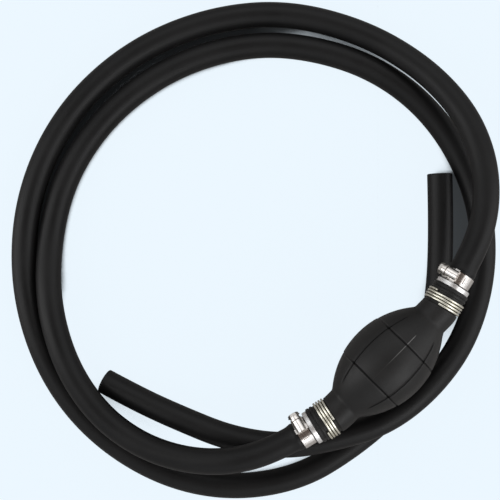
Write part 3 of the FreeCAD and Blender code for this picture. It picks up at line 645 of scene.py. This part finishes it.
def bulb_skin(station, degrees):
    """The bulb's radius and its painted light at a station and an angle: highlight above zero,
    shade below.
    """
    reach = abs(station)
    radius = soft_radius(reach)
    worn = 0.0
    if reach < RING_SEAM + RING_SPAN:
        offset = reach - RING_SEAM
        # The ring is shallow, and its painted shade weaker, on the side that faces the coil's
        # middle.
        side_gap = turned_gap(degrees, PARTING_ANGLE - SEAM_ANGLE)
        share = RING_FAINTEST + (1 - RING_FAINTEST) * limited((side_gap + 8) / 6)
        radius -= bell(offset, SEAM_WIDTH, RING_DEPTH) * share
        # Painted highlight on the ring's rim and painted shade in its groove.
        worn += bell(offset - RING_RIM_OFFSET, RIM_WIDTH, RING_RIM)
        worn -= bell(offset, *SHADE) * share
    fade = limited((SEAM_REACH + SEAM_FADE / 2 - reach) / SEAM_FADE)
    if fade:
        for middle in SEAM_ANGLES:
            gap = math.radians(turned_gap(degrees, middle)) * radius
            if abs(gap) < 3:
                radius -= bell(gap, SEAM_WIDTH, SEAM_DEPTH) * fade
                # Painted highlight on the seam's rims and painted shade in its groove.
                worn += bell(abs(gap) - SEAM_RIM_OFFSET, RIM_WIDTH, SEAM_RIM) * fade
                worn -= bell(gap, *SHADE) * fade
    for middle in PARTING_ANGLES:
        gap = math.radians(turned_gap(degrees, middle)) * radius
        if abs(gap) < 1 and reach < HALF_LENGTH:
            least = PARTING_FAINT if station > PARTING_FAINT_START else 0
            clear = limited((station - PARTING_START) / PARTING_GROWTH, low=least)
            clear *= limited((PARTING_END - station) / PARTING_CUT)
            radius += bell(gap, *PARTING_RIDGE) * clear
            # The parting line's pale stripe is a painted highlight on its ridge.
            worn += bell(gap, *PARTING_PALE) * clear
    return radius, limited(worn, low=-1.0)


def refined(low, high, step, spots):
    """Rising values, spaced evenly but closer near the given (middle, half width, step) spots."""
    values = []
    value = low
    while value < high:
        values.append(value)
        near = [fine for middle, half, fine in spots if abs(value - middle) <= half]
        # A step stops at the edge of a spot that it would pass over.
        edges = [middle - half - value for middle, half, _ in spots if middle - half > value]
        value += min([step] + near + edges)
    return values


def bulb():
    """The squeeze bulb with its necks: a skin with moulded seams, and a hollow inside."""
    # Closer rings at the ring seams, the shoulders and the wire clamps, and closer points
    # round each ring at the seams along the bulb: middle, half width and step of each spot.
    clamp_middle = ALONG_ZERO + 8
    spots = [(RING_SEAM * s, 1.9, 0.2) for s in (-1, 1)]
    spots += [(HALF_LENGTH * s, 2.4, 0.4) for s in (-1, 1)]
    spots += [(clamp_middle * s, 7.6, 0.2) for s in (-1, 1)]
    stations = refined(-LIP_END + 0.5, LIP_END - 0.5, 0.9, spots)
    fine = [(a % 360, 4.2, 0.42) for a in SEAM_ANGLES]
    fine += [(a % 360, 1.3, 0.2) for a in PARTING_ANGLES]
    degrees = refined(0, 360, 3.0, fine)
    angles = [math.radians(d) for d in degrees]

    rings, worn, lengthwise = [], [], []

    def ring(station, radii, pale):
        centre, across, up = bulb_frame(station)
        rings.append([
            centre + (across * math.cos(a) + up * math.sin(a)) * r * MM
            for a, r in zip(angles, radii)
        ])
        worn.extend(pale)
        lengthwise.append(station * MM)

    def round_ring(station, radius):
        ring(station, [radius] * len(angles), [0.0] * len(angles))

    for depth, drop in LIP_EDGE:
        round_ring(-LIP_END + depth, LIP_RADIUS - drop)
    for station in stations:
        skin = [bulb_skin(station, d) for d in degrees]
        ring(station, [r for r, _ in skin], [p for _, p in skin])
    for depth, drop in reversed(LIP_EDGE):
        round_ring(LIP_END - depth, LIP_RADIUS - drop)
    # Back through the inside: the plug's seat, the throat, the hollow and the same again.
    seat_end = ALONG_ZERO - SEAT_DEPTH
    inner_arch = ARCH_RADIUS - WALL
    cavity_end = math.sqrt(inner_arch ** 2 - (ARCH_DROP + THROAT_RADIUS) ** 2)
    half = [(LIP_END, SEAT_MOUTH), (LIP_END - 8, SEAT_RADIUS), (ALONG_ZERO, SEAT_RADIUS),
            (seat_end, SEAT_RADIUS), (seat_end - 0.1, THROAT_RADIUS), (cavity_end, THROAT_RADIUS)]
    for station, radius in half:
        round_ring(station, radius)
    for i in range(1, 2 * HOLLOW_STEPS):
        x = cavity_end * (1 - i / HOLLOW_STEPS)
        round_ring(x, math.sqrt(inner_arch ** 2 - x * x) - ARCH_DROP)
    for station, radius in reversed(half):
        round_ring(-station, radius)
    piece = ring_mesh("bulb_rubber", rings, lengthwise)
    # The seams' painted light goes on the mesh: highlight above zero, shade below.
    attribute = piece.data.attributes.new("worn", "FLOAT", "POINT")
    attribute.data.foreach_set("value", worn)
    dress(piece, "bulb_rubber")
    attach(piece, "pump")
    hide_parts("bulb")


bulb()


# ---------------------------------------------------------------- seals and springs

# Places along the fitting's axis from the bend, and the seal ring's sizes.
SPIDER_END = -3.5
CHAMBER_END = 8.0
SEAT_CLEARANCE = 0.05
SEAL_THICKNESS = 0.95
SEAL_INNER = 4.0
SEAL_OUTER = 5.2
SEAL_EDGE = 0.18
SEAL_EDGE_STEPS = 4
SEAL_SIDES = 64


def fitting_matrix(side):
    """The fitting's frame, with X outward along its axis: the inlet's is turned round Y."""
    place = Matrix.Translation((BEND_POSITION * MM, 0, 0)) @ Matrix.Rotation(BEND_ANGLE, 4, "Z")
    if side == "inlet":
        place = Matrix.Rotation(math.pi, 4, "Y") @ place
    return place


def seal(side, start):
    """A flat seal ring with softened edges."""
    name = side + "_seal_rubber"
    quarter = math.pi / 2
    corners = [(0, SEAL_INNER), (0, SEAL_OUTER),
               (SEAL_THICKNESS, SEAL_OUTER), (SEAL_THICKNESS, SEAL_INNER)]
    middle = Vector((SEAL_THICKNESS / 2, (SEAL_INNER + SEAL_OUTER) / 2))
    profile = []
    for i, corner in enumerate(corners):
        here = Vector(corner)
        centre = here + Vector((
            math.copysign(SEAL_EDGE, middle.x - here.x),
            math.copysign(SEAL_EDGE, middle.y - here.y),
        ))
        first = math.pi + quarter * (1 - i) + quarter
        for k in range(SEAL_EDGE_STEPS + 1):
            angle = first - quarter * (k / SEAL_EDGE_STEPS)
            profile.append(centre + Vector((math.cos(angle), math.sin(angle))) * SEAL_EDGE)
    matrix = fitting_matrix(side)
    turned = matrix.to_3x3()
    angles = even_angles(SEAL_SIDES)
    rings = []
    for along, radius in profile:
        centre = matrix @ (Vector((start + along, 0, 0)) * MM)
        rings.append(circle_points(centre, turned @ Y_AXIS, turned @ Z_AXIS, radius * MM, angles))
    piece = ring_mesh(name, rings, [0.0] * len(rings))
    dress(piece, "seal_rubber")
    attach(piece, side + "_poppet")
    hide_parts(side + "_valve_seal")


def squashed_spring(side):
    """A copy of the spring's coil, with a mesh of its own, hung on the pump."""
    coil = nodes[side + "_valve_spring"]
    piece = bpy.data.objects.new(side + "_spring_coil", coil.data.copy())
    bpy.context.scene.collection.objects.link(piece)
    dress(piece, "spring_steel")
    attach(piece, "pump")
    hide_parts(side + "_valve_spring")
    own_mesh(piece)


seal("inlet", CHAMBER_END - SEAT_CLEARANCE - SEAL_THICKNESS)
seal("outlet", SPIDER_END + SEAT_CLEARANCE)
squashed_spring("inlet")
squashed_spring("outlet")


# ---------------------------------------------------------------- studio

# Everything here is in metres. The picture's directions and centre lie in the XY plane.
PICTURE_RIGHT = Vector((1, -1, 0)).normalized()
PICTURE_UP = Vector((1, 1, 0)).normalized()
VIEW_CENTRE = Vector((-0.01085, 0.1064, 0))
CAMERA_HEIGHT = 0.606
CAMERA_TURN = math.radians(-45)
LENS = 72.2
SENSOR = 36.0
FLOOR_HALF = 20.0

# Where the painted shade on the floor between the hoses changes, from its start to its full
# strength, along the picture's right, its up or its lower right.
LOWER_RIGHT = PICTURE_RIGHT * 0.8 - PICTURE_UP * 0.6
BLACK_ZONE = (-0.055, -0.085)
PALE_ZONE = (-0.025, -0.05)
SHADE_LEFT = (0.118, 0.128)
SHADE_RIGHT = (0.150, 0.144)
SHADE_TOP = (0.052, 0.046)
SHADE_BOTTOM = (-0.016, -0.006)
OPENING_REACH = 0.09
# How much of the floor's tone is its own glow. The lamps light the rest.
GLOW_SHARE = 0.97
UNSEEN_FLOOR = (0.40, 0.39, 0.38, 1)

# The room's tone by the height of the direction, from level (0) to straight up (1).
ROOM_TONES = (
    (0.0, (0.50, 0.50, 0.51, 1)), (0.25, (0.85, 0.86, 0.87, 1)), (0.52, (1.0, 1.02, 1.05, 1)),
    (0.865, (0.95, 0.96, 0.97, 1)), (0.905, (0.16, 0.125, 0.105, 1)),
    (1.0, (0.13, 0.10, 0.085, 1)),
)
# The room's strength on the picture's left and right.
ROOM_LEFT = 0.58
ROOM_RIGHT = 0.98


def floor_look():
    """The pale floor: even where the camera sees it open, with painted shade deep between the
    hoses.
    """
    look = Look("pale_floor")
    look.tree.nodes.remove(look.shader)
    place = look.coordinates()

    def reach(direction):
        """How far a point of the floor lies from the view's centre in a direction, in metres."""
        node = look.add("ShaderNodeVectorMath", {"operation": "DOT_PRODUCT"})
        look.feed(node, 0, place)
        look.feed(node, 1, direction)
        return look.math("SUBTRACT", node.outputs["Value"], VIEW_CENTRE.dot(direction))

    # Painted shade in the narrow gaps, set by zones: black at the upper left, grey at the top,
    # pale at the bottom, and dark grey beside the outlet hose's free end, standing in for the
    # shade of the strands above.
    right, up = reach(PICTURE_RIGHT), reach(PICTURE_UP)
    black = look.ramp(reach(LOWER_RIGHT), *BLACK_ZONE)
    pale = look.ramp(up, *PALE_ZONE)
    beside = look.math("MULTIPLY", look.ramp(right, *SHADE_LEFT), look.ramp(right, *SHADE_RIGHT))
    beside = look.math("MULTIPLY", beside, look.ramp(up, *SHADE_TOP))
    shade = look.math("MULTIPLY", beside, look.ramp(up, *SHADE_BOTTOM))
    # How open the sky is where the floor is at its darkest (low) and in full glow (high).
    occlusion = look.add(
        "ShaderNodeAmbientOcclusion", {"samples": 24}, Distance=OPENING_REACH
    )
    least = look.ramp(black, 0, 1, 0.10, 0.36)
    low = look.math("MULTIPLY", least, look.ramp(pale, 0, 1, 1, 0.1))
    darkest = look.ramp(black, 0, 1, 0.04, 0.004)
    low = look.math("ADD", low, look.math("MULTIPLY", shade, 0.32))
    high = look.math("ADD", look.ramp(pale, 0, 1, 0.38, 0.22), look.ramp(black, 0, 1, 0, 0.12))
    high = look.math("ADD", high, look.math("MULTIPLY", shade, 0.5))
    # The floor's glow drops where the painted shade falls.
    painted_shade_glow = look.ramp(occlusion.outputs["AO"], low, high, darkest, 1.0)
    tone = look.mix(look.ramp(look.noise(place, 1.4, detail=2.0), 0.35, 0.65),
                    (*BACKGROUND, 1), (0.835, 0.928, 1.0, 1))
    glow = look.add("ShaderNodeEmission", Color=tone, Strength=painted_shade_glow)
    matt = look.add("ShaderNodeBsdfDiffuse", Color=tone)
    shown = look.add("ShaderNodeMixShader")
    look.feed(shown, 0, GLOW_SHARE)
    look.feed(shown, 1, matt.outputs[0])
    look.feed(shown, 2, glow.outputs[0])
    unseen = look.add("ShaderNodeBsdfDiffuse", Color=UNSEEN_FLOOR)
    surface = look.tree.nodes["Material Output"].inputs["Surface"]
    look.tree.links.new(look.for_camera(shown, unseen), surface)
    return look.material


def floor():
    """The ground that the hoses lie on, which isn't part of the pump."""
    half = FLOOR_HALF
    z = FLOOR_HEIGHT * MM
    corners = [(-half, -half, z), (half, -half, z), (half, half, z), (-half, half, z)]
    mesh = bpy.data.meshes.new("floor")
    mesh.from_pydata(corners, [], [(0, 1, 2, 3)])
    plane = bpy.data.objects.new("floor", mesh)
    bpy.context.scene.collection.objects.link(plane)
    mesh.materials.append(floor_look())


def softbox(name, offset, height, size, power):
    """A rectangular lamp that faces the middle of the coil."""
    data = bpy.data.lights.new(name, "AREA")
    data.shape = "RECTANGLE"
    data.size, data.size_y = size
    data.energy = power
    lamp = bpy.data.objects.new(name, data)
    bpy.context.scene.collection.objects.link(lamp)
    lamp.location = VIEW_CENTRE + offset + Z_AXIS * height
    lamp.rotation_euler = (VIEW_CENTRE - lamp.location).to_track_quat("-Z", "Y").to_euler()


def room():
    """A white room: dark straight above, where the photographer stands, dim near the floor."""
    sky = bpy.data.worlds.new("studio")
    sky.use_nodes = True
    sky.node_tree.nodes.clear()
    air = Nodes(sky.node_tree)
    direction = air.add("ShaderNodeTexCoord").outputs["Generated"]
    height = air.add("ShaderNodeSeparateXYZ", Vector=direction).outputs["Z"]
    ramp = air.add("ShaderNodeValToRGB", Fac=height)
    stops = ramp.color_ramp.elements
    stops[0].position, stops[0].color = ROOM_TONES[0]
    stops[1].position, stops[1].color = ROOM_TONES[-1]
    for position, tone in ROOM_TONES[1:-1]:
        stops.new(position).color = tone
    side = air.add("ShaderNodeVectorMath", {"operation": "DOT_PRODUCT"})
    air.feed(side, 0, direction)
    air.feed(side, 1, PICTURE_RIGHT - PICTURE_UP * 0.5)
    strength = air.add(
        "ShaderNodeMapRange", Value=side.outputs["Value"], From_Min=-1.0, From_Max=1.0,
        To_Min=ROOM_LEFT, To_Max=ROOM_RIGHT,
    )
    lit = air.add("ShaderNodeBackground", Color=ramp.outputs[0], Strength=strength.outputs[0])
    seen = air.add("ShaderNodeBackground", Color=(*BACKGROUND, 1), Strength=1.0)
    chosen = air.for_camera(seen, lit)
    air.feed(air.add("ShaderNodeOutputWorld"), 0, chosen)
    bpy.context.scene.world = sky


def camera():
    """The camera looks straight down on the coil, as in the photograph."""
    data = bpy.data.cameras.new("camera")
    data.sensor_width = SENSOR
    data.lens = LENS
    eye = bpy.data.objects.new("camera", data)
    bpy.context.scene.collection.objects.link(eye)
    eye.location = VIEW_CENTRE + Z_AXIS * CAMERA_HEIGHT
    eye.rotation_euler = (0, 0, CAMERA_TURN)
    bpy.context.scene.camera = eye


floor()
room()
camera()
softbox("left_softbox", PICTURE_RIGHT * -0.85, height=0.34, size=(0.5, 1.3), power=4.8)
softbox("right_softbox", PICTURE_RIGHT * 0.85, height=0.48, size=(0.5, 1.3), power=2.4)
softbox("top_softbox", PICTURE_UP * 0.8, height=0.75, size=(1.0, 0.6), power=1.5)
softbox("front_softbox", Y_AXIS * -0.8, height=0.64, size=(0.5, 0.5), power=2.5)
bpy.context.scene.view_settings.view_transform = "Standard"
